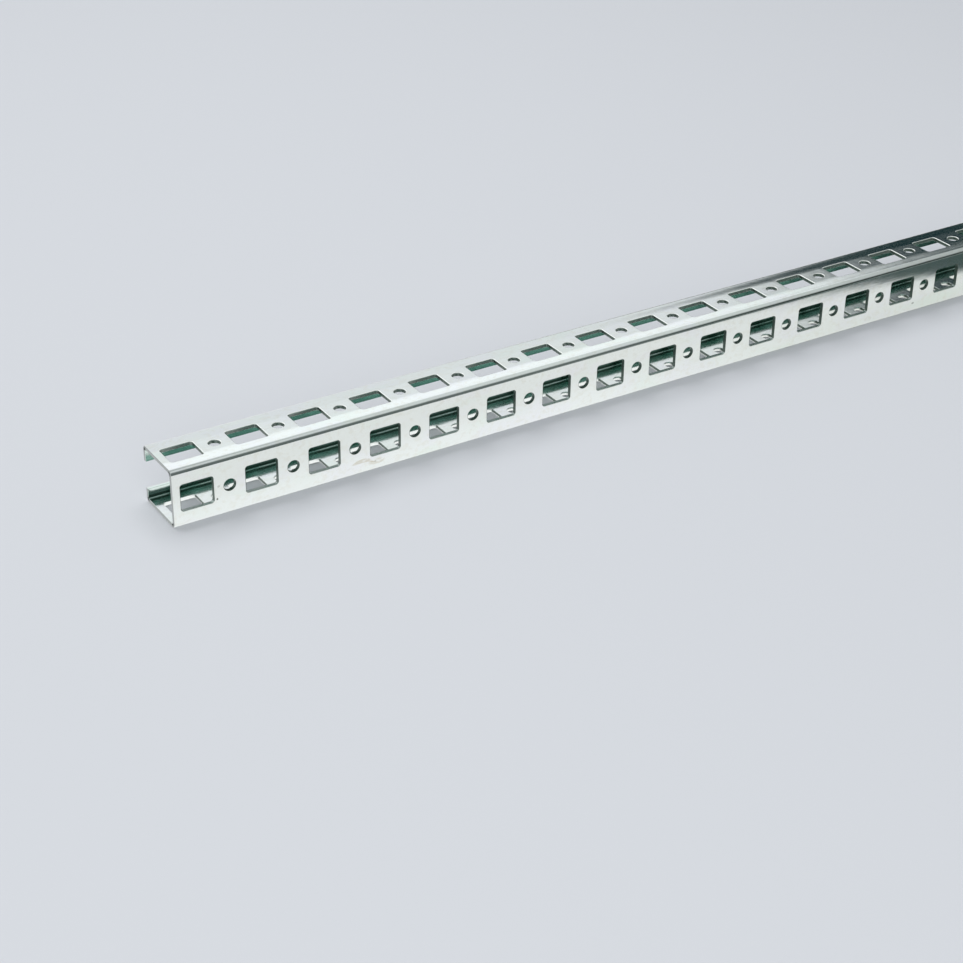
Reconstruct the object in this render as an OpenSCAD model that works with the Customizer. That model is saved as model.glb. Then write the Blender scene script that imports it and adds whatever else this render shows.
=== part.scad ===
// Perforated mounting rail: a lipped channel folded from one strip of sheet steel.
// The strip is punched on three sides before it is folded: the web and both
// flanges carry the same row of rectangular slots, with a round screw hole
// halfway between each two. The rail lies on its lower flange, with the web
// towards -Y and the open side, between the two lips, towards +Y.

/* [Section] */
// Height over the two flanges
section_height = 23; // [20:0.5:40]
// Depth from the web to the lips
section_depth = 23; // [20:0.5:40]
// Thickness of the sheet
sheet_thickness = 1.5; // [1:0.1:2]
// Inside radius of the four bends
bend_inside_radius = 0.5; // [0.3:0.1:1.5]
// Height of the lower lip, from the base
lower_lip_height = 5.5; // [4:0.1:8]
// Height of the upper lip, from the top
upper_lip_height = 6.5; // [4:0.1:8]

/* [Length] */
// Length of the cut rail
rail_length = 595; // [95:1:995]
// From the left end to the middle of the first slot
first_slot_from_end = 9.25; // [8.5:0.25:12.5]
// Least metal left between a hole and the right end
least_end_margin = 2; // [1:0.5:6]

/* [Punching] */
// Distance from one slot to the next, along the rail
hole_pitch = 25; // [20:1:50]
// Length of a slot, along the rail
slot_length = 12.5; // [8:0.5:13.5]
// Width of a slot, across the rail
slot_width = 10.5; // [6:0.5:12]
// Radius of a slot's corners
slot_corner_radius = 1; // [0.5:0.1:2.5]
// Diameter of the round screw holes
screw_hole_diameter = 4.5; // [3:0.1:6]
// Width of the edge that the punch rolls over round each hole
rolled_edge_width = 0.35; // [0.1:0.05:0.6]
// Depth of that rolled edge below the outer face
rolled_edge_depth = 0.2; // [0.1:0.05:0.4]
// From the outside of the web to the row of holes in each flange
flange_row_from_web = 11; // [9:0.1:14]
// From the base to the row of holes in the web
web_row_from_base = 11.5; // [9:0.1:14]

/* [Hidden] */

$fn = 48;

bend_outside_radius = bend_inside_radius + sheet_thickness;
rail_start = -rail_length / 2;
web_outside = -section_depth / 2;
lip_outside = section_depth / 2;

// The punch starts clear of the sheet and ends clear of it on the other side
punch_clearance = 1;
punch_travel = sheet_thickness + 2 * punch_clearance;

// The rolled edge is cut by a flare that starts below the outer face and
// keeps its slope a little past it
flare_past_face = 0.2;
flare_height = rolled_edge_depth + flare_past_face;
flare_spread = rolled_edge_width * flare_height / rolled_edge_depth;

// Holes that fit whole between the first one and the right end
function holes_along(first, length) =
    floor((rail_length - first - length / 2 - least_end_margin) / hole_pitch) + 1;

first_screw_hole_from_end = first_slot_from_end + hole_pitch / 2;
slot_count = holes_along(first_slot_from_end, slot_length);
screw_hole_count = holes_along(first_screw_hole_from_end, screw_hole_diameter);

// A flat stretch of the section, from one corner to the opposite one
module flat_stretch(from, to) {
    translate([min(from[0], to[0]), min(from[1], to[1])])
        square([abs(to[0] - from[0]), abs(to[1] - from[1])]);
}

// A quarter bend whose sheet turns round the corner at [y, z].
// side is +1 or -1 along each axis and says where the section's inside lies.
module bend(corner, side) {
    centre = [corner[0] + side[0] * bend_outside_radius,
              corner[1] + side[1] * bend_outside_radius];
    intersection() {
        translate(centre)
            difference() {
                circle(bend_outside_radius);
                circle(bend_inside_radius);
            }
        flat_stretch(corner, centre);
    }
}

// The folded section in the YZ plane, drawn with Y across and Z up
module section() {
    inset = bend_outside_radius;
    top = section_height;
    // Web, between its two bends
    flat_stretch([web_outside, inset],
                 [web_outside + sheet_thickness, top - inset]);
    // Lower and upper flange
    flat_stretch([web_outside + inset, 0],
                 [lip_outside - inset, sheet_thickness]);
    flat_stretch([web_outside + inset, top - sheet_thickness],
                 [lip_outside - inset, top]);
    // Lower and upper lip
    flat_stretch([lip_outside - sheet_thickness, inset],
                 [lip_outside, lower_lip_height]);
    flat_stretch([lip_outside - sheet_thickness, top - upper_lip_height],
                 [lip_outside, top - inset]);
    bend([web_outside, 0], [1, 1]);
    bend([web_outside, top], [1, -1]);
    bend([lip_outside, 0], [-1, 1]);
    bend([lip_outside, top], [-1, -1]);
}

// Outline of one slot, its length along X
module slot_outline() {
    inner_length = slot_length - 2 * slot_corner_radius;
    inner_width = slot_width - 2 * slot_corner_radius;
    square([slot_length, inner_width], center = true);
    square([inner_length, slot_width], center = true);
    for (x = [-1, 1], y = [-1, 1])
        translate([x * inner_length / 2, y * inner_width / 2])
            circle(slot_corner_radius);
}

// A bar that runs along Y and widens upwards with the slope of a rolled edge
module flared_bar(width, length) {
    rotate([90, 0, 0])
        linear_extrude(length, center = true)
            polygon([[-width / 2, 0],
                     [width / 2, 0],
                     [width / 2 + flare_spread, flare_height],
                     [-width / 2 - flare_spread, flare_height]]);
}

// The flare that cuts a slot's rolled edge, its length along X
module slot_flare() {
    inner_length = slot_length - 2 * slot_corner_radius;
    inner_width = slot_width - 2 * slot_corner_radius;
    flared_bar(slot_length, inner_width);
    rotate([0, 0, 90]) flared_bar(slot_width, inner_length);
    for (x = [-1, 1], y = [-1, 1])
        translate([x * inner_length / 2, y * inner_width / 2, 0])
            cylinder(h = flare_height, r1 = slot_corner_radius,
                     r2 = slot_corner_radius + flare_spread);
}

// The flare that cuts a screw hole's rolled edge
module screw_hole_flare() {
    cylinder(h = flare_height, d1 = screw_hole_diameter,
             d2 = screw_hole_diameter + 2 * flare_spread);
}

// One row of slots and screw holes, ready to be cut down through a sheet
// whose upper face lies at Z = 0. The row runs along X from the left end.
module punched_row() {
    for (i = [0 : slot_count - 1])
        translate([rail_start + first_slot_from_end + i * hole_pitch, 0, 0]) {
            translate([0, 0, punch_clearance - punch_travel])
                linear_extrude(punch_travel) slot_outline();
            translate([0, 0, -rolled_edge_depth]) slot_flare();
        }
    for (i = [0 : screw_hole_count - 1])
        translate([rail_start + first_screw_hole_from_end + i * hole_pitch, 0, 0]) {
            translate([0, 0, punch_clearance - punch_travel])
                cylinder(h = punch_travel, d = screw_hole_diameter);
            translate([0, 0, -rolled_edge_depth]) screw_hole_flare();
        }
}

// The strip folded to its section, still without holes
module folded_strip() {
    translate([rail_start, 0, 0])
        rotate([90, 0, 90])
            linear_extrude(rail_length) section();
}

module mounting_rail() {
    flange_row = web_outside + flange_row_from_web;
    color([0.80, 0.82, 0.82])
        difference() {
            folded_strip();
            // Upper flange
            translate([0, flange_row, section_height]) punched_row();
            // Lower flange
            translate([0, flange_row, 0]) rotate([180, 0, 0]) punched_row();
            // Web
            translate([0, web_outside, web_row_from_base])
                rotate([90, 0, 0]) punched_row();
        }
}

mounting_rail();
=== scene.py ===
"""Looks of a perforated mounting rail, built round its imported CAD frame.

The rail is one strip of sheet steel: folded to a lipped channel, punched with slots and
screw holes on its web and both flanges, cut to length and zinc plated. Here one step of
the rail is folded, punched and given its rolled rims, then repeated along the length.
"""

import logging
import math
from dataclasses import dataclass, field
from enum import Enum, IntEnum
from typing import Any, Callable, Optional, Union

import bpy
from mathutils import Matrix, Vector

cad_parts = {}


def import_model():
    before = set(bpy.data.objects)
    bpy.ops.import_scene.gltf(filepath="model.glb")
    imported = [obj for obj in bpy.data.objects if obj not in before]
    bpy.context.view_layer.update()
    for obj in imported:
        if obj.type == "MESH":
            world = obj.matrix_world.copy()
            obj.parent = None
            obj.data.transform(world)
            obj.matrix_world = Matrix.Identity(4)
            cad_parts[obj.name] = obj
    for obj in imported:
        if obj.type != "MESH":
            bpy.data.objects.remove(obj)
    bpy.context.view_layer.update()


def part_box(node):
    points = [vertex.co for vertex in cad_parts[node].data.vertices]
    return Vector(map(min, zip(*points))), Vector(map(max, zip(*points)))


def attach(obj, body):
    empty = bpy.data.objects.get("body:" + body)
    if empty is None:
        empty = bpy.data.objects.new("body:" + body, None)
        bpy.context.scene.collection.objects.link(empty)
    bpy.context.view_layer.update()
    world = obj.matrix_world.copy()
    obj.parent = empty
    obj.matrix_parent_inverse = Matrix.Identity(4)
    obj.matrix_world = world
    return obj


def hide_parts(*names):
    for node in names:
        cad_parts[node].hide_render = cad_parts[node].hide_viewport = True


LOG = logging.getLogger("mounting_rail")

MM = 0.001
NODE = "mounting_rail"
BODY = "root"
FRAME_PIXELS = 963

# Two places of a mesh that are closer than this, in metres, are one place
SAME_PLACE = 1e-6
# Points that lie this close where two steps meet are merged, in millimetres
MERGE_DISTANCE = 0.005
# A face whose normal has more than this along X is square to the rail
SQUARE_ON = 0.999
# Edges with a sharper angle than this, in degrees, outline the punched holes
SHARP_ANGLE = 60.0
# The bevel profile that follows a circle
ROUND_PROFILE = 0.5
# The middle of a noise that runs from 0 to 1
NOISE_MIDDLE = 0.5

Number = Union[int, float]
Point = tuple[float, float, float]
Colour = tuple[float, float, float, float]
Span = tuple[float, float]
PairTest = Callable[[Vector, Vector], bool]


class Wall(Enum):
    """The three punched walls of the rail."""

    WEB = "web"
    UPPER_FLANGE = "upper flange"
    LOWER_FLANGE = "lower flange"


class Skin(IntEnum):
    """The rail's material slots, by their numbers."""

    SHEET = 0
    CUT = 1
    RIM = 2


def work_on(piece: bpy.types.Object) -> None:
    """Makes one object the only selected and active one, in object mode.

    Args:
        piece: The object that the next operators act on.
    """
    if bpy.context.object is not None and bpy.context.object.mode != "OBJECT":
        bpy.ops.object.mode_set(mode="OBJECT")
    bpy.ops.object.select_all(action="DESELECT")
    piece.select_set(True)
    bpy.context.view_layer.objects.active = piece


def settle(piece: bpy.types.Object) -> None:
    """Moves an object's place, turn and scale into its mesh.

    Args:
        piece: The object, which ends at the origin, unturned and unscaled.
    """
    work_on(piece)
    bpy.ops.object.transform_apply(location=True, rotation=True, scale=True)


def apply_modifier(piece: bpy.types.Object, kind: str, **settings: Any) -> None:
    """Adds one modifier to an object and applies it at once.

    Args:
        piece: The object to change.
        kind: The modifier's type, such as "BEVEL".
        **settings: The modifier's own settings.
    """
    work_on(piece)
    modifier = piece.modifiers.new(kind.title(), kind)
    for name, value in settings.items():
        setattr(modifier, name, value)
    bpy.ops.object.modifier_apply(modifier=modifier.name)


def start_selection(piece: bpy.types.Object, kind: str) -> None:
    """Enters edit mode to select edges or faces, with nothing selected yet.

    Args:
        piece: The mesh object.
        kind: What will be selected, "EDGE" or "FACE".
    """
    work_on(piece)
    bpy.ops.object.mode_set(mode="EDIT")
    bpy.ops.mesh.select_mode(type=kind)
    bpy.ops.mesh.select_all(action="DESELECT")


def select_edges(piece: bpy.types.Object, wanted: PairTest) -> None:
    """Selects edges of a mesh by place and enters edit mode.

    Args:
        piece: The mesh object.
        wanted: A function of an edge's two ends, true for an edge to select.
    """
    start_selection(piece, "EDGE")
    bpy.ops.object.mode_set(mode="OBJECT")
    points = piece.data.vertices
    for edge in piece.data.edges:
        first, second = (points[i].co for i in edge.vertices)
        edge.select = bool(wanted(first, second))
    bpy.ops.object.mode_set(mode="EDIT")


def select_faces(piece: bpy.types.Object, wanted: PairTest) -> None:
    """Selects faces of a mesh by place or normal and enters edit mode.

    Args:
        piece: The mesh object.
        wanted: A function of a face's centre and normal, true for a face to select.
    """
    start_selection(piece, "FACE")
    bpy.ops.object.mode_set(mode="OBJECT")
    for face in piece.data.polygons:
        face.select = bool(wanted(face.center, face.normal))
    bpy.ops.object.mode_set(mode="EDIT")


def every_face(centre: Vector, normal: Vector) -> bool:
    """Wants each face, wherever it lies and looks."""
    return True


def bevel_selected(width: float, parts: int, skin: int = -1) -> None:
    """Rounds the selected edges over and leaves edit mode.

    Args:
        width: How far the round reaches to each side, in millimetres.
        parts: How many faces it has across.
        skin: The material slot of its faces, or -1 for that of their neighbours.
    """
    bpy.ops.mesh.bevel(
        offset=width * MM,
        segments=parts,
        profile=ROUND_PROFILE,
        affect="EDGES",
        material=skin,
    )
    bpy.ops.object.mode_set(mode="OBJECT")


@dataclass(frozen=True)
class Grain:
    """A noise over a surface, and how it turns into the share of a colour.

    Attributes:
        scale: The noise cells for each millimetre along X, Y and Z.
        detail: How many finer layers the noise has.
        shift: Moves the pattern, so that two noises differ.
        hold: The values of the noise between which its share rises.
        share: The share where the noise has risen in full.
    """

    scale: Point
    detail: float = 2.0
    shift: Point = (0.0, 0.0, 0.0)
    hold: Span = (0.0, 1.0)
    share: float = 1.0


class Signal:
    """A socket in a node tree, with arithmetic that adds the Math nodes it needs."""

    def __init__(self, bench: "Bench", socket: bpy.types.NodeSocket) -> None:
        """Wraps a socket.

        Args:
            bench: The bench that the socket's node stands on.
            socket: The output socket.
        """
        self.bench = bench
        self.socket = socket

    def _math(self, operation: str, *values: Union["Signal", Number]) -> "Signal":
        """Returns the outcome of one Math node on the given values."""
        inputs = dict(enumerate(values))
        return self.bench.node("ShaderNodeMath", {"operation": operation}, inputs)

    def __add__(self, other: Union["Signal", Number]) -> "Signal":
        """Returns self + other."""
        return self._math("ADD", self, other)

    def __radd__(self, other: Number) -> "Signal":
        """Returns other + self."""
        return self._math("ADD", other, self)

    def __sub__(self, other: Union["Signal", Number]) -> "Signal":
        """Returns self - other."""
        return self._math("SUBTRACT", self, other)

    def __rsub__(self, other: Number) -> "Signal":
        """Returns other - self."""
        return self._math("SUBTRACT", other, self)

    def __mul__(self, other: Union["Signal", Number]) -> "Signal":
        """Returns self * other."""
        return self._math("MULTIPLY", self, other)

    def __rmul__(self, other: Number) -> "Signal":
        """Returns other * self."""
        return self._math("MULTIPLY", other, self)

    def __abs__(self) -> "Signal":
        """Returns the signal without its sign."""
        return self._math("ABSOLUTE", self)

    def ramp(self, low: float, high: float) -> "Signal":
        """Returns 0 below low, 1 above high and a smooth rise between them.

        Args:
            low: The value where the rise starts.
            high: The value where it ends; a lower one makes it a fall.

        Returns:
            The risen signal.
        """
        settings = {"interpolation_type": "SMOOTHSTEP"}
        limits = {"From Min": low, "From Max": high, "To Min": 0.0, "To Max": 1.0}
        if high < low:
            limits = {"From Min": high, "From Max": low, "To Min": 1.0, "To Max": 0.0}
        return self.bench.node("ShaderNodeMapRange", settings, {"Value": self, **limits})


Axes = tuple[Signal, Signal, Signal]


class Bench:
    """Adds and links the nodes of one material or world."""

    def __init__(self, tree: bpy.types.NodeTree) -> None:
        """Clears a node tree for new work.

        Args:
            tree: The node tree of a material or world.
        """
        self.tree = tree
        tree.nodes.clear()

    def node(
        self,
        kind: str,
        settings: Optional[dict[str, Any]] = None,
        inputs: Optional[dict[Any, Any]] = None,
        output: Union[int, str] = 0,
    ) -> Signal:
        """Adds a node and returns one of its outputs.

        Args:
            kind: The node's type.
            settings: The node's own settings, set before its sockets are filled.
            inputs: A value or Signal for each socket, by the socket's name or number.
            output: The name or number of the output to return.

        Returns:
            The chosen output, or the node's first input socket if it has no output.
        """
        made = self.tree.nodes.new(kind)
        for name, value in (settings or {}).items():
            setattr(made, name, value)
        self._fill(made, inputs or {})
        return Signal(self, made.outputs[output] if made.outputs else made.inputs[0])

    def _fill(self, made: bpy.types.Node, inputs: dict[Any, Any]) -> None:
        """Sets or links the inputs of a node.

        Args:
            made: The node.
            inputs: A value or Signal for each socket, by the socket's name or number.
        """
        for key, value in inputs.items():
            socket = self._input(made, key)
            if isinstance(value, Signal):
                self.tree.links.new(value.socket, socket)
            else:
                socket.default_value = value

    @staticmethod
    def _input(made: bpy.types.Node, key: Union[int, str]) -> bpy.types.NodeSocket:
        """Returns a node's input socket, by its number or as the enabled one of a name.

        Args:
            made: The node.
            key: The socket's number or name.

        Returns:
            The input socket.
        """
        if isinstance(key, int):
            return made.inputs[key]
        return next(s for s in made.inputs if s.name == key and s.enabled)

    def mix_colour(
        self,
        share: Union[Signal, float],
        first: Union[Signal, Colour],
        second: Union[Signal, Colour],
    ) -> Signal:
        """Returns a colour between two.

        Args:
            share: How much of the second colour, from 0 to 1.
            first: The first colour.
            second: The second colour.

        Returns:
            The mixed colour.
        """
        made = self.tree.nodes.new("ShaderNodeMix")
        made.data_type = "RGBA"
        self._fill(made, {"Factor": share, "A": first, "B": second})
        return Signal(self, next(s for s in made.outputs if s.enabled))

    def place(
        self, scale: Point = (1.0, 1.0, 1.0), shift: Point = (0.0, 0.0, 0.0)
    ) -> Signal:
        """Returns Object coordinates in millimetres, scaled and shifted.

        Args:
            scale: The pattern's repeats for each millimetre along X, Y and Z.
            shift: What is added after the scale.

        Returns:
            The coordinates as a vector.
        """
        where = self.node("ShaderNodeTexCoord", output="Object")
        inputs = {"Vector": where, "Scale": tuple(s / MM for s in scale), "Location": shift}
        return self.node("ShaderNodeMapping", inputs=inputs)

    def split(self, vector: Signal) -> Axes:
        """Splits a vector into its X, Y and Z.

        Args:
            vector: The vector.

        Returns:
            Its three numbers.
        """
        parts = self.tree.nodes.new("ShaderNodeSeparateXYZ")
        self.tree.links.new(vector.socket, parts.inputs["Vector"])
        return tuple(Signal(self, parts.outputs[i]) for i in range(3))

    def axes(self) -> Axes:
        """Returns Object X, Y and Z, each in millimetres."""
        return self.split(self.place())

    def noise(self, grain: Grain) -> Signal:
        """Adds a noise over the surface.

        Args:
            grain: The noise's sizes.

        Returns:
            Its value, from 0 to 1.
        """
        where = self.place(grain.scale, grain.shift)
        inputs = {"Vector": where, "Scale": 1.0, "Detail": grain.detail}
        return self.node("ShaderNodeTexNoise", inputs=inputs, output="Fac")

    def layer(self, grain: Grain) -> Signal:
        """Returns the share of a colour that a noise stands for."""
        return self.noise(grain).ramp(*grain.hold) * grain.share

    def end_in_metal(
        self,
        face: Signal,
        roughness: Union[Signal, float],
        relief: Signal,
        strength: float,
        height: float,
    ) -> None:
        """Ends the bench in a metal surface with fine relief.

        Args:
            face: The metal's colour.
            roughness: Its roughness, as one number or changing over the surface.
            relief: Its fine relief.
            strength: How much of the relief shows, from 0 to 1.
            height: The millimetres that a relief of 1 stands for.
        """
        bumps = {"Height": relief, "Strength": strength, "Distance": height * MM}
        surface = {
            "Base Color": face,
            "Metallic": 1.0,
            "Roughness": roughness,
            "Normal": self.node("ShaderNodeBump", inputs=bumps),
        }
        shader = self.node("ShaderNodeBsdfPrincipled", inputs=surface)
        self.node("ShaderNodeOutputMaterial", inputs={"Surface": shader})


def new_material(name: str) -> tuple[bpy.types.Material, Bench]:
    """Makes an empty material.

    Args:
        name: The material's name.

    Returns:
        The material and the bench for its nodes.
    """
    material = bpy.data.materials.new(name)
    material.use_nodes = True
    return material, Bench(material.node_tree)


def colour(red: float, green: float, blue: float) -> Colour:
    """Returns an opaque linear colour."""
    return (red, green, blue, 1.0)


@dataclass(frozen=True)
class Mark:
    """A soft mark on the web's outer face. Lengths are in millimetres.

    Attributes:
        x: Its middle along the rail.
        z: The height of its middle.
        reach_x: How far it reaches along the rail.
        reach_z: How far it reaches up and down.
        strength: How strong it is in the middle, from 0 to 1.
        bend: How it curves: its rise with the square of the way from its middle.
    """

    x: float
    z: float
    reach_x: float
    reach_z: float
    strength: float
    bend: float = 0.0


@dataclass(frozen=True)
class Band:
    """A stretch of the lower lip's inside, in millimetres: its top band takes painted light
    and its foot band painted shade.

    Attributes:
        foot: Where it fades in along Z.
        head: Where it fades out along Z.
        start: Where it fades in along Y, towards the lip.
    """

    foot: Span
    head: Span
    start: Span

    def share(self, axes: Axes) -> Signal:
        """Returns 1 on the band and 0 away from it."""
        _, y, z = axes
        return z.ramp(*self.foot) * z.ramp(*self.head) * y.ramp(*self.start)


@dataclass(frozen=True)
class ZincPlate:
    """Bright zinc plating with a clear passivation, on cold-rolled sheet, with painted shade
    and painted light on the faces inside the channel.
    """

    name: str = "zinc_plating"
    silver: Colour = colour(0.82, 0.87, 0.86)
    lilac: Colour = colour(0.81, 0.835, 0.88)
    green: Colour = colour(0.77, 0.86, 0.81)
    warm: Colour = colour(0.76, 0.78, 0.73)
    # Painted shade: the dark green of the faces inside the channel stands for shade and for
    # the dark room they mirror.
    inside: Colour = colour(0.29, 0.46, 0.41)
    stain: Colour = colour(0.58, 0.55, 0.45)
    spot: Colour = colour(0.16, 0.17, 0.15)
    lit_inside: Colour = colour(0.72, 0.83, 0.79)
    shaded_inside: Colour = colour(0.07, 0.14, 0.11)
    clouds: Grain = Grain((0.06, 0.12, 0.12), 3.0, hold=(0.45, 0.65), share=0.6)
    tint: Grain = Grain((0.04, 0.09, 0.09), 2.0, (7.3, 1.9, 4.1), (0.52, 0.7), 0.6)
    mottle: Grain = Grain((0.45, 0.55, 0.55), 3.0, (1.0, 4.0, 6.0), (0.45, 0.7), 0.45)
    drawn: Grain = Grain((1.1, 0.1, 0.06), 3.0, (5.0, 0.0, 3.0), (0.45, 0.75), 0.6)
    grime: Grain = Grain((0.35, 0.6, 0.6), 4.0, (3.0, 8.0, 1.0), (0.3, 0.6))
    lines: Grain = Grain((0.02, 2.2, 2.2), 2.0, (0.0, 5.0, 2.0))
    grain: Grain = Grain((1.3, 1.3, 1.3), 3.0)
    waves: Grain = Grain((0.12, 0.3, 0.3), 2.0, (2.0, 2.0, 9.0))
    roughness: float = 0.13
    roughness_spread: float = 0.1
    wave_height: float = 0.03
    line_height: float = 0.004
    crown: float = 0.38
    crown_at_web: Span = (-10.5, -4.5)
    crown_at_lips: Span = (10.0, 4.0)
    crown_foot: Span = (3.0, 6.0)
    outer_skin: Span = (0.6, 0.1)
    inner_skin: Span = (0.5, 1.2)
    inner_floor: Span = (1.5, 1.85)
    # Painted light on the top band of the lower lip's inside.
    lip_top_painted_light: Band = Band((3.4, 4.8), (7.0, 6.0), (6.0, 8.0))
    # Painted shade at the foot of the lower lip's inside.
    lip_foot_painted_shade: Band = Band((1.75, 2.0), (3.0, 2.7), (8.3, 9.3))
    lit_end: Span = (9.0, 3.0)
    lit_end_foot: Span = (14.0, 16.5)
    mark_fade: Span = (1.0, 0.25)
    smears: tuple[Mark, ...] = (
        Mark(-222.8, 5.5, 7.2, 1.0, 0.65, -0.055),
        Mark(-217.0, 3.8, 4.2, 1.4, 0.5),
        Mark(19.0, 3.0, 2.4, 1.3, 0.35),
    )
    spots: tuple[Mark, ...] = (
        Mark(-280.8, 7.2, 0.45, 0.55, 0.9),
        Mark(-280.0, 12.1, 0.7, 0.6, 0.22),
        Mark(-217.6, 3.9, 0.5, 0.3, 0.35),
        Mark(44.0, 4.2, 0.9, 0.6, 0.45),
        Mark(41.0, 6.0, 0.4, 0.4, 0.3),
    )

    def _mask(self, marks: tuple[Mark, ...], axes: Axes) -> Signal:
        """Returns where the marks lie on the web's outer face.

        Args:
            marks: The marks to add up.
            axes: Object X, Y and Z in millimetres.

        Returns:
            The strength of the marks, from 0 to 1.
        """
        x, _, z = axes
        total = None
        for mark in marks:
            along = (x - mark.x) * (1 / mark.reach_x)
            sag = (x - mark.x) * (x - mark.x) * mark.bend
            across = (z - mark.z - sag) * (1 / mark.reach_z)
            near = (along * along + across * across).ramp(*self.mark_fade) * mark.strength
            total = near if total is None else total + near
        return total

    def _inside(self, rail: "Rail", axes: Axes) -> Signal:
        """Finds the faces that look into the channel, save its floor: the faces that take
        the painted shade and painted light.

        Args:
            rail: The rail, whose sizes tell the inside from the outside.
            axes: Object X, Y and Z in millimetres.

        Returns:
            1 on those faces and 0 elsewhere.
        """
        _, y, z = axes
        low, high = self.inner_skin
        back, front = rail.web_face, -rail.web_face
        within = y.ramp(back + low, back + high) * y.ramp(front - low, front - high)
        below_top = z.ramp(rail.height - low, rail.height - high)
        return within * z.ramp(*self.inner_floor) * below_top

    def _outer_colour(self, bench: Bench, rail: "Rail", axes: Axes) -> Signal:
        """Colours the sheet: clouds, tints, drawn lines, smears and spots.

        Args:
            bench: The material's bench.
            rail: The rail, whose sizes tell where its web and lips are.
            axes: Object X, Y and Z in millimetres.

        Returns:
            The colour of the outer faces.
        """
        _, y, _ = axes
        deep, shallow = self.outer_skin
        on_lip = y.ramp(-rail.web_face - deep, -rail.web_face - shallow)
        on_web = y.ramp(rail.web_face + deep, rail.web_face + shallow)
        smeared = self._mask(self.smears, axes) * bench.layer(self.grime) * on_web
        layers = (
            (bench.layer(self.clouds), self.lilac),
            (bench.layer(self.tint), self.green),
            (bench.layer(self.mottle), self.warm),
            (bench.layer(self.drawn) * on_lip, self.warm),
            (smeared, self.stain),
            (self._mask(self.spots, axes) * on_web, self.spot),
        )
        face = self.silver
        for share, tint in layers:
            face = bench.mix_colour(share, face, tint)
        return face

    def _painted_inside_light_and_shade(self, bench: Bench, rail: "Rail", axes: Axes) -> Signal:
        """Paints shade and light onto the faces that look into the channel: a dark green
        painted shade, darker painted shade at the lower lip's foot, and painted light on the
        lip's top band and near the ends.

        Args:
            bench: The material's bench.
            rail: The rail, whose length tells where its ends are.
            axes: Object X, Y and Z in millimetres.

        Returns:
            The colour of the inner faces, made of painted shade and painted light.
        """
        x, _, z = axes
        fade_in, fade_out = self.lit_end
        half = rail.length / 2
        # Painted light on the channel's inside near both ends of the rail.
        at_end = abs(x).ramp(half - fade_in, half - fade_out) * z.ramp(*self.lit_end_foot)
        # Painted shade: the channel's dark green, darker still at the lower lip's foot.
        face = bench.mix_colour(self.lip_foot_painted_shade.share(axes), self.inside, self.shaded_inside)
        # Painted light on the lower lip's top band and near the ends.
        return bench.mix_colour(self.lip_top_painted_light.share(axes) + at_end, face, self.lit_inside)

    def make(self, rail: "Rail") -> bpy.types.Material:
        """Builds the material.

        Args:
            rail: The rail, whose sizes tell the inside from the outside.

        Returns:
            The finished material.
        """
        material, bench = new_material(self.name)
        axes = bench.axes()
        _, y, z = axes
        outer = self._outer_colour(bench, rail, axes)
        inner = self._painted_inside_light_and_shade(bench, rail, axes)
        # The faces inside the channel take the painted shade and painted light instead of
        # the sheet's colours.
        face = bench.mix_colour(self._inside(rail, axes), outer, inner)
        lines, grain, waves = (bench.noise(g) for g in (self.lines, self.grain, self.waves))
        uneven = (lines - NOISE_MIDDLE) * self.roughness_spread
        rough = self.roughness + uneven + (grain - NOISE_MIDDLE) * self.roughness_spread
        crowned = y.ramp(*self.crown_at_web) * y.ramp(*self.crown_at_lips)
        crowned = crowned * z.ramp(*self.crown_foot) * self.crown
        relief = crowned + waves * self.wave_height + (lines + grain) * self.line_height
        bench.end_in_metal(face, rough, relief, strength=1.0, height=1.0)
        return material


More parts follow.
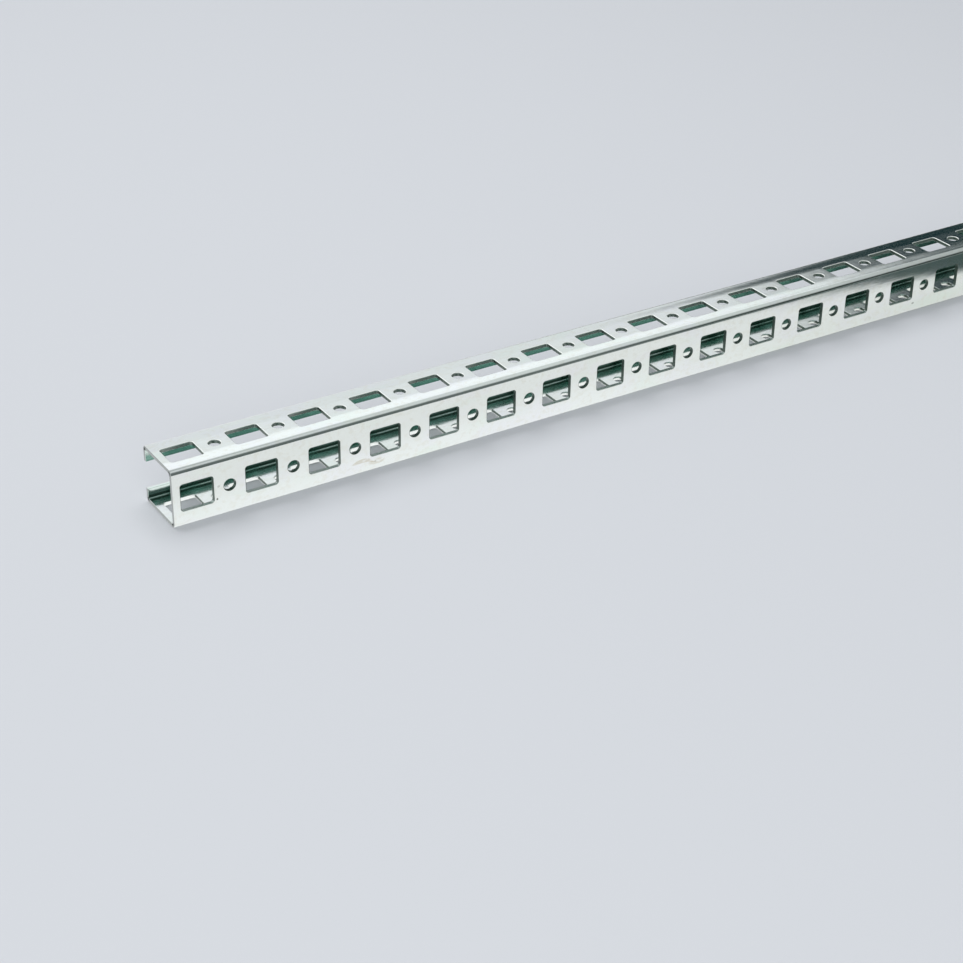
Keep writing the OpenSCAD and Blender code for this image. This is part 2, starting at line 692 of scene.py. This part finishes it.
@dataclass(frozen=True)
class ShearedEdge:
    """The cut faces of slots, holes and ends, plated but rougher than the sheet; their
    darkness is painted shade, and the web slots' sills and the lower flange's back walls
    carry painted light.
    """

    name: str = "sheared_edge"
    # Painted shade: the cut faces are coloured far darker than the plating to stand for
    # shade in the slots and holes; the tear pattern is their rough sheared finish.
    sheared_tone_and_painted_shade: Colour = colour(0.13, 0.17, 0.15)
    torn_tone_and_painted_shade: Colour = colour(0.065, 0.095, 0.085)
    # Painted light on the lower walls of the web's slots, which face up.
    sill_painted_light: Colour = colour(0.58, 0.64, 0.62)
    # Painted light on the slot and hole walls that face -Y, mostly in the lower flange.
    back_wall_painted_light: Colour = colour(0.95, 0.99, 0.97)
    sawn: Colour = colour(0.34, 0.37, 0.37)
    tears: Grain = Grain((2.4, 2.4, 2.4), 3.0, hold=(0.4, 0.65))
    tear_strength: float = 0.3
    tear_height: float = 0.05
    roughness: float = 0.34
    # Where the painted light on the web slots' sills lies.
    sill_depth: Span = (1.5, 1.1)
    sill_rise: Span = (0.9, 0.2)
    # Where the painted light on the back walls lies: by their facing, behind the web, and
    # mostly low.
    back_facing: Span = (-0.45, -0.85)
    back_start: Span = (2.5, 3.5)
    low_wall: Span = (6.0, 3.0)
    high_wall_share: float = 0.2
    sawn_depth: Span = (0.3, 0.1)

    def make(self, rail: "Rail") -> bpy.types.Material:
        """Builds the material.

        Args:
            rail: The rail, whose sizes tell where its sawn ends are and where the web's
                sills take painted light.

        Returns:
            The finished material.
        """
        material, bench = new_material(self.name)
        x, y, z = bench.axes()
        from_web = y - rail.web_face
        above_sill = z - (rail.web_row - rail.slot_width / 2)
        from_end = rail.length / 2 - abs(x)
        normal = bench.node("ShaderNodeNewGeometry", output="True Normal")
        _, facing, _ = bench.split(normal)
        # Painted light on the web slots' sills.
        sill_light_share = from_web.ramp(*self.sill_depth) * above_sill.ramp(*self.sill_rise)
        # Painted light on walls facing -Y, chosen by their true normal.
        back_wall_light_share = facing.ramp(*self.back_facing) * from_web.ramp(*self.back_start)
        low = z.ramp(*self.low_wall) * (1.0 - self.high_wall_share)
        tears = bench.noise(self.tears)
        # Painted shade over the cut faces, varied by their tear pattern.
        face = bench.mix_colour(tears.ramp(*self.tears.hold), self.sheared_tone_and_painted_shade, self.torn_tone_and_painted_shade)
        # Painted light on the web slots' sills.
        face = bench.mix_colour(sill_light_share, face, self.sill_painted_light)
        # Painted light on the back walls, full on the lower flange and weak higher up.
        face = bench.mix_colour(back_wall_light_share * (self.high_wall_share + low), face, self.back_wall_painted_light)
        face = bench.mix_colour(from_end.ramp(*self.sawn_depth), face, self.sawn)
        bench.end_in_metal(face, self.roughness, tears, self.tear_strength, self.tear_height)
        return material


@dataclass(frozen=True)
class RimPaintedHighlight:
    """The rolled rims round the flanges' slots and holes, coloured brighter than the sheet
    as a painted highlight.
    """

    name: str = "rim_painted_highlight"
    # Painted highlight: near-white rims stand for glints on the rolled edges; the worn
    # patches are random tone.
    bright: Colour = colour(0.97, 0.99, 0.97)
    worn: Colour = colour(0.80, 0.85, 0.83)
    wear: Grain = Grain((0.9, 0.9, 0.9), 3.0, (4.0, 2.0, 7.0), (0.5, 0.75))
    wear_strength: float = 0.2
    wear_height: float = 0.03
    roughness: float = 0.20

    def make(self) -> bpy.types.Material:
        """Builds the material.

        Returns:
            The finished material.
        """
        material, bench = new_material(self.name)
        wear = bench.noise(self.wear)
        face = bench.mix_colour(wear.ramp(*self.wear.hold), self.bright, self.worn)
        bench.end_in_metal(face, self.roughness, wear, self.wear_strength, self.wear_height)
        return material


@dataclass
class Rail:
    """The rail, modelled one punched step at a time. Sizes are in millimetres."""

    length: float
    height: float
    depth: float
    sheet: float = 1.5
    fold_radius: float = 2.0
    fold_parts: int = 10
    lower_lip: float = 5.5
    upper_lip: float = 6.5
    step: float = 25.0
    first_slot: float = 9.25
    slot_length: float = 12.5
    slot_width: float = 10.5
    slot_radius: float = 1.0
    slot_corner_parts: int = 6
    hole_diameter: float = 4.5
    hole_sides: int = 36
    flange_row: float = 11.0
    web_row: float = 11.5
    punch_clearance: float = 0.9
    rim: float = 0.28
    web_rim: float = 0.22
    rim_parts: int = 3
    inner_rim: float = 0.1
    inner_rim_parts: int = 1
    end_rim: float = 0.15
    end_rim_parts: int = 2
    end_margin: float = 2.0
    zinc: ZincPlate = field(default_factory=ZincPlate)
    edge: ShearedEdge = field(default_factory=ShearedEdge)
    rim_highlight: RimPaintedHighlight = field(default_factory=RimPaintedHighlight)

    @property
    def start(self) -> float:
        """The rail's near end along X."""
        return -self.length / 2

    @property
    def web_face(self) -> float:
        """The outer face of the web along Y."""
        return -self.depth / 2

    @property
    def punch_travel(self) -> float:
        """The height of a punch, which starts and ends clear of the sheet."""
        return self.sheet + 2 * self.punch_clearance

    def full_steps(self) -> int:
        """Returns how many steps have both their slot and their screw hole whole."""
        hole_end = self.first_slot + self.step / 2 + self.hole_diameter / 2
        return math.floor((self.length - hole_end - self.end_margin) / self.step) + 1

    def folded_sheet(self, name: str, start: float, length: float) -> bpy.types.Object:
        """Folds a stretch of the strip: a sheet that is extruded wall by wall.

        Args:
            name: The new object's name.
            start: Where the stretch begins along X.
            length: How long it is.

        Returns:
            The folded stretch as a closed solid.
        """
        bpy.ops.mesh.primitive_plane_add(size=1.0)
        sheet = bpy.context.object
        sheet.name = name
        sheet.data.name = name
        sheet.dimensions = (length * MM, self.height * MM, 0.0)
        sheet.rotation_euler = (math.radians(90), 0.0, 0.0)
        middle = Vector((start + length / 2, self.web_face, self.height / 2))
        sheet.location = middle * MM
        settle(sheet)
        self._fold_out(sheet, self.height, -self.upper_lip)
        self._fold_out(sheet, 0.0, self.lower_lip)
        self._round_folds(sheet)
        self._face_outwards(sheet)
        apply_modifier(
            sheet,
            "SOLIDIFY",
            thickness=self.sheet * MM,
            offset=-1.0,
            use_even_offset=True,
        )
        return sheet

    def _fold_out(self, sheet: bpy.types.Object, height: float, lip: float) -> None:
        """Extrudes a flange and its lip from one of the web's long edges.

        Args:
            sheet: The sheet.
            height: The height of the edge.
            lip: How far the lip goes up from the flange, or down if below 0.
        """
        web, edge_height = self.web_face * MM, height * MM

        def on_edge(a: Vector, b: Vector) -> bool:
            """Tells whether an edge is the web's own long edge at the height."""
            return all(
                abs(p.z - edge_height) < SAME_PLACE and abs(p.y - web) < SAME_PLACE
                for p in (a, b)
            )

        select_edges(sheet, on_edge)
        for move in ((0.0, self.depth * MM, 0.0), (0.0, 0.0, lip * MM)):
            bpy.ops.mesh.extrude_edges_move(TRANSFORM_OT_translate={"value": move})
        bpy.ops.object.mode_set(mode="OBJECT")

    def _round_folds(self, sheet: bpy.types.Object) -> None:
        """Bevels the four fold lines to the outside radius of the bends.

        Args:
            sheet: The sheet, with its flanges and lips folded out.
        """
        sides, levels = (self.web_face, -self.web_face), (0.0, self.height)
        folds = [(y * MM, z * MM) for y in sides for z in levels]

        def is_fold(a: Vector, b: Vector) -> bool:
            """Tells whether an edge runs along X on one of the four corners."""
            return any(
                max(abs(a.y - y), abs(b.y - y), abs(a.z - z), abs(b.z - z)) < SAME_PLACE
                for y, z in folds
            )

        select_edges(sheet, is_fold)
        bevel_selected(self.fold_radius, self.fold_parts)

    def _face_outwards(self, sheet: bpy.types.Object) -> None:
        """Turns the open sheet's faces so that the web looks towards -Y.

        Args:
            sheet: The folded sheet.
        """
        select_faces(sheet, every_face)
        bpy.ops.mesh.normals_make_consistent(inside=False)
        bpy.ops.object.mode_set(mode="OBJECT")
        web = min(sheet.data.polygons, key=lambda face: face.center.y)
        if web.normal.y > 0:
            select_faces(sheet, every_face)
            bpy.ops.mesh.flip_normals()
            bpy.ops.object.mode_set(mode="OBJECT")

    def _punch_centre(self, wall: Wall, x: float) -> Vector:
        """Finds the middle of a punched hole in the thickness of its wall.

        Args:
            wall: The wall.
            x: Where the hole is along X.

        Returns:
            The middle, in metres.
        """
        half = self.sheet / 2
        if wall is Wall.WEB:
            return Vector((x, self.web_face + half, self.web_row)) * MM
        z = self.height - half if wall is Wall.UPPER_FLANGE else half
        return Vector((x, self.web_face + self.flange_row, z)) * MM

    def _slot_punch(self) -> bpy.types.Object:
        """Makes the punch of a slot: a block with rounded upright edges.

        Returns:
            The punch, at the origin.
        """
        bpy.ops.mesh.primitive_cube_add(size=1.0)
        punch = bpy.context.object
        size = Vector((self.slot_length, self.slot_width, self.punch_travel))
        punch.dimensions = size * MM
        settle(punch)

        def is_upright(a: Vector, b: Vector) -> bool:
            """Tells whether an edge runs along Z."""
            return abs(a.x - b.x) < SAME_PLACE and abs(a.y - b.y) < SAME_PLACE

        select_edges(punch, is_upright)
        bevel_selected(self.slot_radius, self.slot_corner_parts)
        return punch

    def _hole_punch(self) -> bpy.types.Object:
        """Makes the punch of a screw hole.

        Returns:
            The punch, at the origin.
        """
        bpy.ops.mesh.primitive_cylinder_add(
            vertices=self.hole_sides,
            radius=self.hole_diameter / 2 * MM,
            depth=self.punch_travel * MM,
        )
        return bpy.context.object

    def _place_punch(self, punch: bpy.types.Object, wall: Wall, x: float) -> None:
        """Turns a punch to a wall, moves it to its place and settles it.

        Args:
            punch: The punch.
            wall: The wall that it cuts.
            x: Where it cuts along X.
        """
        if wall is Wall.WEB:
            punch.rotation_euler = (math.radians(90), 0.0, 0.0)
        punch.location = self._punch_centre(wall, x)
        settle(punch)

    def punch_tool(
        self, start: float, with_hole: bool, edge: bpy.types.Material
    ) -> bpy.types.Object:
        """Makes the joined punches of one step on all three walls.

        Args:
            start: Where the step begins along X.
            with_hole: Whether the step has its screw holes too.
            edge: The material that the cut faces take.

        Returns:
            The joined punches.
        """
        slot_at = start + self.first_slot
        punches = []
        for wall in Wall:
            punches.append(self._slot_punch())
            self._place_punch(punches[-1], wall, slot_at)
            if with_hole:
                punches.append(self._hole_punch())
                self._place_punch(punches[-1], wall, slot_at + self.step / 2)
        work_on(punches[0])
        for punch in punches:
            punch.select_set(True)
        bpy.ops.object.join()
        tool = bpy.context.object
        tool.data.materials.clear()
        tool.data.materials.append(edge)
        return tool

    def punched_step(
        self, name: str, start: float, length: float, with_hole: bool, skins: tuple
    ) -> bpy.types.Object:
        """Models one step: folded, punched, and with its rims rolled over.

        Args:
            name: The new object's name.
            start: Where the step begins along X.
            length: How long it is.
            with_hole: Whether it has its screw holes.
            skins: The materials of the sheet, the cut faces and the rims.

        Returns:
            The step, open at both ends.
        """
        piece = self.folded_sheet(name, start, length)
        piece.data.materials.append(skins[Skin.SHEET])
        tool = self.punch_tool(start, with_hole, skins[Skin.CUT])
        apply_modifier(
            piece,
            "BOOLEAN",
            object=tool,
            operation="DIFFERENCE",
            solver="EXACT",
            material_mode="TRANSFER",
        )
        bpy.data.objects.remove(tool)
        piece.data.materials.append(skins[Skin.RIM])
        ends = (start * MM, (start + length) * MM)

        def closes_end(centre: Vector, normal: Vector) -> bool:
            """Tells whether a face closes either end of the step."""
            at_end = min(abs(centre.x - end) for end in ends) < SAME_PLACE
            return at_end and abs(normal.x) > SQUARE_ON

        select_faces(piece, closes_end)
        bpy.ops.mesh.delete(type="ONLY_FACE")
        bpy.ops.object.mode_set(mode="OBJECT")
        self._roll_rims(piece)
        return piece

    def _roll_rims(self, piece: bpy.types.Object) -> None:
        """Rolls the punched outlines over, widely outside and barely inside.

        The web's rims keep the sheared finish, and the flanges' rims take the painted
        highlight.

        Args:
            piece: The punched step.
        """
        web, top = self.web_face * MM, self.height * MM

        def on_web(point: Vector) -> bool:
            """Tells whether a point lies on the web's outer face."""
            return abs(point.y - web) < SAME_PLACE

        def on_flange(point: Vector) -> bool:
            """Tells whether a point lies on a flange's outer face."""
            return min(abs(point.z), abs(point.z - top)) < SAME_PLACE

        def on_inside(point: Vector) -> bool:
            """Tells whether a point lies on neither of those faces."""
            return not (on_web(point) or on_flange(point))

        for width, parts, skin, wanted in (
            (self.web_rim, self.rim_parts, Skin.CUT, on_web),
            # The flanges' rims carry the painted highlight.
            (self.rim, self.rim_parts, Skin.RIM, on_flange),
            (self.inner_rim, self.inner_rim_parts, Skin.SHEET, on_inside),
        ):
            start_selection(piece, "EDGE")
            bpy.ops.mesh.edges_select_sharp(sharpness=math.radians(SHARP_ANGLE))
            bpy.ops.object.mode_set(mode="OBJECT")
            points = piece.data.vertices
            for edge in piece.data.edges:
                ends = (points[i].co for i in edge.vertices)
                edge.select = edge.select and all(wanted(end) for end in ends)
            bpy.ops.object.mode_set(mode="EDIT")
            bevel_selected(width, parts, skin)

    def _close_end(self, piece: bpy.types.Object, end: float) -> None:
        """Caps one of the rail's open ends and breaks the cap's sharp outline.

        Args:
            piece: The rail.
            end: Where the end is along X.
        """

        def at_end(a: Vector, b: Vector) -> bool:
            """Tells whether an edge lies at the end."""
            return max(abs(a.x - end * MM), abs(b.x - end * MM)) < SAME_PLACE

        select_edges(piece, at_end)
        bpy.ops.mesh.edge_face_add()
        piece.active_material_index = Skin.CUT
        bpy.ops.object.material_slot_assign()
        bpy.ops.object.mode_set(mode="OBJECT")
        select_edges(piece, at_end)
        bevel_selected(self.end_rim, self.end_rim_parts)

    def build(self) -> bpy.types.Object:
        """Builds and dresses the whole rail.

        Returns:
            The rail as one object, in place of the CAD node.
        """
        skins = (self.zinc.make(self), self.edge.make(self), self.rim_highlight.make())
        steps = self.full_steps()
        rail = self.punched_step(
            "rail_of_zinc_plated_sheet", self.start, self.step, True, skins
        )
        apply_modifier(
            rail,
            "ARRAY",
            count=steps,
            use_relative_offset=False,
            use_constant_offset=True,
            constant_offset_displace=(self.step * MM, 0.0, 0.0),
            use_merge_vertices=True,
            merge_threshold=MERGE_DISTANCE * MM,
        )
        rest = self.length - steps * self.step
        last_start = self.start + steps * self.step
        last = self.punched_step("last_step", last_start, rest, False, skins)
        work_on(rail)
        last.select_set(True)
        bpy.ops.object.join()
        select_faces(rail, every_face)
        bpy.ops.mesh.remove_doubles(threshold=MERGE_DISTANCE * MM)
        bpy.ops.object.mode_set(mode="OBJECT")
        for end in (self.start, -self.start):
            self._close_end(rail, end)
        select_faces(rail, every_face)
        bpy.ops.mesh.normals_make_consistent(inside=False)
        bpy.ops.object.mode_set(mode="OBJECT")
        bpy.ops.object.shade_smooth()
        apply_modifier(
            rail, "WEIGHTED_NORMAL", mode="FACE_AREA", weight=100, keep_sharp=False
        )
        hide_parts(NODE)
        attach(rail, BODY)
        return rail


@dataclass(frozen=True)
class PaleFloor:
    """The plain floor that the rail lies on, and what bright metal shows of it.

    Slants are the millimetres along Y for each one along X. A Span is where a part
    of the mirrored floor fades in along X or Y, in millimetres.
    """

    name: str = "pale_floor"
    tone: Colour = colour(0.60, 0.62, 0.65)
    near: Colour = colour(1.0, 1.0, 1.0)
    beside: Colour = colour(0.80, 0.81, 0.78)
    middle: Colour = colour(0.87, 0.87, 0.86)
    far: Colour = colour(0.07, 0.10, 0.095)
    haze: Colour = colour(0.27, 0.30, 0.29)
    bright_slant: float = 0.15
    bright_edge: Span = (-60.0, -40.0)
    cut_slant: float = 0.25
    cut_edge: Span = (-58.0, -51.5)
    far_patch_x: Span = (175.0, 215.0)
    far_patch_y: Span = (-110.0, -80.0)
    near_to_beside: Span = (-150.0, 60.0)
    middle_to_near: Span = (-38.0, -14.0)
    haze_start: Span = (-150.0, -20.0)
    haze_end: Span = (330.0, 180.0)
    haze_front: Span = (-60.0, -130.0)

    def make(self) -> bpy.types.Material:
        """Builds the material.

        Returns:
            The finished material.
        """
        material, bench = new_material(self.name)
        x, y, _ = bench.axes()
        bright = (y - x * self.bright_slant).ramp(*self.bright_edge)
        bright = bright * (y - x * self.cut_slant).ramp(*self.cut_edge)
        bright = bright + x.ramp(*self.far_patch_x) * y.ramp(*self.far_patch_y)
        near = bench.mix_colour(x.ramp(*self.near_to_beside), self.near, self.beside)
        lit = bench.mix_colour(y.ramp(*self.middle_to_near), self.middle, near)
        hazy = x.ramp(*self.haze_start) * x.ramp(*self.haze_end) * y.ramp(*self.haze_front)
        away = bench.mix_colour(hazy, self.far, self.haze)
        shown = bench.mix_colour(bright, away, lit)
        plain = bench.node("ShaderNodeBsdfDiffuse", inputs={"Color": self.tone})
        emission = {"Color": shown, "Strength": 1.0}
        mirrored = bench.node("ShaderNodeEmission", inputs=emission)
        glossy = bench.node("ShaderNodeLightPath", output="Is Glossy Ray")
        floor = bench.node("ShaderNodeMixShader", inputs={0: glossy, 1: plain, 2: mirrored})
        bench.node("ShaderNodeOutputMaterial", inputs={"Surface": floor})
        return material


@dataclass(frozen=True)
class MirroredRoom:
    """The world: plain level light, and the room that bright metal sees round it.

    A direction is a unit vector: east is its X, north its Y and height its Z. A Span
    is where a part of the room fades in along one of them.
    """

    name: str = "studio"
    level: Colour = colour(0.36, 0.37, 0.385)
    bright: Colour = colour(1.10, 1.12, 1.13)
    top: Colour = colour(0.70, 0.73, 0.72)
    side: Colour = colour(0.60, 0.64, 0.63)
    dark: Colour = colour(0.006, 0.026, 0.029)
    dim: Colour = colour(0.130, 0.150, 0.145)
    gap: Colour = colour(0.015, 0.025, 0.022)
    panel_turn: float = 43.4
    panel_height: float = 0.407
    panel_lean: float = 0.80
    panel_edge: Span = (0.035, -0.055)
    panel_start: Span = (0.15, 0.60)
    panel_foot: Span = (0.44, 0.60)
    panel_foot_glow: float = 0.74
    overhead_from: float = 0.36
    overhead_tilt: float = 0.7
    overhead_edge: Span = (0.45, 0.82)
    overhead_north: Span = (0.60, 0.40)
    overhead_east: Span = (0.86, 0.54)
    overhead_crown: Span = (0.89, 0.94)
    overhead_crown_loss: float = 0.4
    front_gap: Span = (0.52, 0.62)
    front_start: Span = (0.1, -0.2)
    west_side: Span = (0.25, 0.02)
    west_foot: Span = (-0.10, 0.35)
    east_side: Span = (0.68, 0.76)
    east_foot: Span = (-0.10, 0.10)

    def _panel(self, directions: Axes) -> Signal:
        """Returns how bright the large panel is in each direction.

        Args:
            directions: East, north and height.

        Returns:
            The panel's share, from 0 to 1.
        """
        east, north, height = directions
        turn = math.radians(self.panel_turn)
        past_edge = east * math.cos(turn) - north * math.sin(turn)
        past_edge = past_edge - (height - self.panel_height) * self.panel_lean
        glow = height.ramp(*self.panel_foot) * (1.0 - self.panel_foot_glow)
        panel = past_edge.ramp(*self.panel_edge) * north.ramp(*self.panel_start)
        return panel * (self.panel_foot_glow + glow)

    def _overhead(self, directions: Axes) -> Signal:
        """Returns how bright the ceiling is in each direction.

        Args:
            directions: East, north and height.

        Returns:
            The ceiling's share, from 0 to 1.
        """
        east, north, height = directions
        level = height + (east - self.overhead_from) * self.overhead_tilt
        overhead = level.ramp(*self.overhead_edge) * north.ramp(*self.overhead_north)
        loss = height.ramp(*self.overhead_crown) * self.overhead_crown_loss
        return overhead * east.ramp(*self.overhead_east) * (1.0 - loss)

    def light(self) -> None:
        """Makes this room the scene's world."""
        world = bpy.data.worlds.new(self.name)
        bpy.context.scene.world = world
        world.use_nodes = True
        bench = Bench(world.node_tree)
        directions = bench.split(bench.node("ShaderNodeTexCoord", output="Generated"))
        east, north, height = directions
        aside = east.ramp(*self.west_side) * height.ramp(*self.west_foot)
        aside = aside + east.ramp(*self.east_side) * height.ramp(*self.east_foot)
        front = bench.mix_colour(east.ramp(*self.front_gap), self.dim, self.gap)
        room = bench.mix_colour(north.ramp(*self.front_start), self.dark, front)
        room = bench.mix_colour(self._overhead(directions), room, self.top)
        room = bench.mix_colour(aside, room, self.side)
        room = bench.mix_colour(self._panel(directions), room, self.bright)
        glossy = bench.node("ShaderNodeLightPath", output="Is Glossy Ray")
        seen = bench.mix_colour(glossy, self.level, room)
        light = {"Color": seen, "Strength": 1.0}
        shader = bench.node("ShaderNodeBackground", inputs=light)
        bench.node("ShaderNodeOutputWorld", inputs={"Surface": shader})


@dataclass(frozen=True)
class Softbox:
    """A soft square lamp that faces the origin, hidden from glossy rays.

    Attributes:
        name: The lamp's name.
        place: Where it hangs, in millimetres.
        size: The length of its side, in millimetres.
        power: Its power in watts.
    """

    name: str
    place: Point
    size: float
    power: float

    def hang(self) -> None:
        """Adds the lamp to the scene."""
        data = bpy.data.lights.new(self.name, "AREA")
        data.shape = "SQUARE"
        data.size = self.size * MM
        data.energy = self.power
        lamp = bpy.data.objects.new(self.name, data)
        bpy.context.scene.collection.objects.link(lamp)
        lamp.location = Vector(self.place) * MM
        lamp.visible_glossy = False
        lamp.rotation_mode = "QUATERNION"
        lamp.rotation_quaternion = (-Vector(self.place)).to_track_quat("-Z", "Y")


@dataclass
class Studio:
    """Floor, world, lamps and camera. Places are in millimetres in the rail's frame."""

    focal_pixels: float = 2041.1
    camera_place: Point = (-533.4, -575.1, 371.6)
    camera_turn: float = 32.70
    camera_dip: float = 30.22
    camera_roll: float = 0.84
    sensor: float = 36.0
    floor_size: float = 12000.0
    floor_drop: float = 0.02
    floor_finish: PaleFloor = field(default_factory=PaleFloor)
    room: MirroredRoom = field(default_factory=MirroredRoom)
    lamps: tuple[Softbox, ...] = (
        Softbox("top_softbox", (-200.0, 500.0, 1500.0), 1400.0, 18.0),
        Softbox("front_softbox", (-900.0, -1300.0, 900.0), 1200.0, 14.0),
    )

    def lay_floor(self) -> None:
        """Lays the floor just under the rail."""
        bpy.ops.object.select_all(action="DESELECT")
        place = (0.0, 0.0, -self.floor_drop * MM)
        bpy.ops.mesh.primitive_plane_add(size=self.floor_size * MM, location=place)
        floor = bpy.context.object
        floor.name = "floor"
        floor.data.materials.append(self.floor_finish.make())

    def set_camera(self) -> None:
        """Places the camera at the photograph's viewing angle."""
        data = bpy.data.cameras.new("camera")
        data.sensor_width = self.sensor
        data.lens = self.focal_pixels * self.sensor / FRAME_PIXELS
        camera = bpy.data.objects.new("camera", data)
        bpy.context.scene.collection.objects.link(camera)
        place = Matrix.Translation(Vector(self.camera_place) * MM)
        turn = Matrix.Rotation(-math.radians(self.camera_turn), 4, "Z")
        dip = Matrix.Rotation(math.radians(90 - self.camera_dip), 4, "X")
        roll = Matrix.Rotation(math.radians(self.camera_roll), 4, "Z")
        camera.matrix_world = place @ turn @ dip @ roll
        bpy.context.scene.camera = camera

    def build(self) -> None:
        """Sets up the whole studio."""
        self.lay_floor()
        self.room.light()
        for lamp in self.lamps:
            lamp.hang()
        self.set_camera()
        bpy.context.scene.view_settings.view_transform = "Standard"


def main() -> None:
    """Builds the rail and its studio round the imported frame."""
    logging.basicConfig(level=logging.INFO, format="%(name)s: %(message)s")
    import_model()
    low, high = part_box(NODE)
    size = (high - low) / MM
    Studio().build()
    rail = Rail(length=size.x, height=size.z, depth=size.y).build()
    LOG.info("%s: %d faces on %s", rail.name, len(rail.data.polygons), BODY)


if __name__ == "__main__":
    main()
